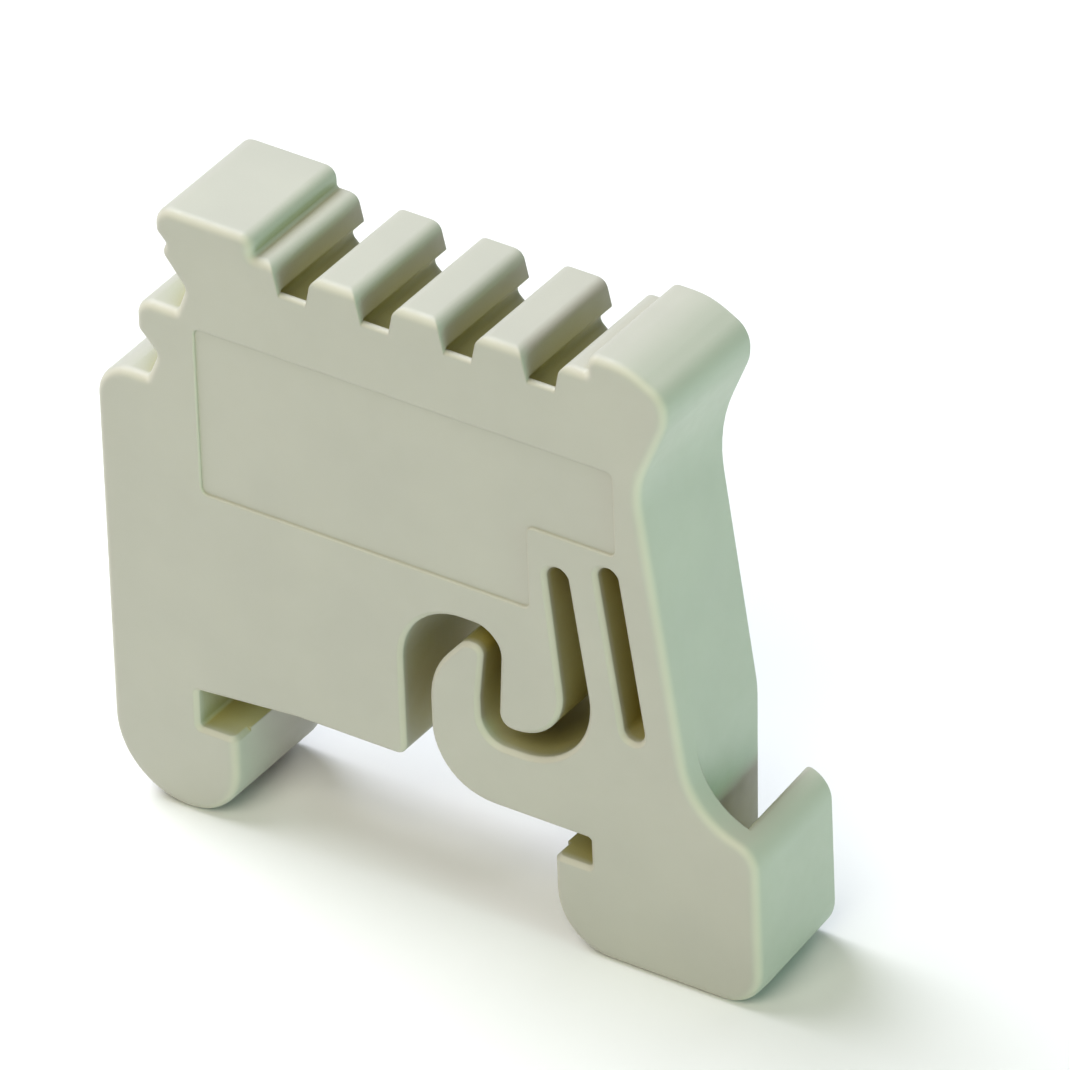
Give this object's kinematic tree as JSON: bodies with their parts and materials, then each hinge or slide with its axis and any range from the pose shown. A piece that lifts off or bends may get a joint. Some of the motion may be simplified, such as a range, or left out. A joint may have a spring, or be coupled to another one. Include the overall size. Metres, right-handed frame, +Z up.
{
  "type": "din rail end stop",
  "caption": "Flat moulded end stop that hooks and snaps over a small top-hat rail, with a spring leg, a release pocket and marker slots along its top.",
  "frame": {"origin": "on the plane of the rail's top face, midway across the rail and midway through the stop's thickness", "axes": "+X across the rail towards the spring leg, +Y along the rail away from the labelled front face, +Z up from the rail"},
  "size_m": [0.025, 0.005, 0.0232],
  "materials": {
    "moulded_body": "plain moulded beige-grey thermoplastic, satin to matte, unpainted"
  },
  "bodies": {
    "root": {"end_stop": "moulded_body"}
  },
  "joints": []
}
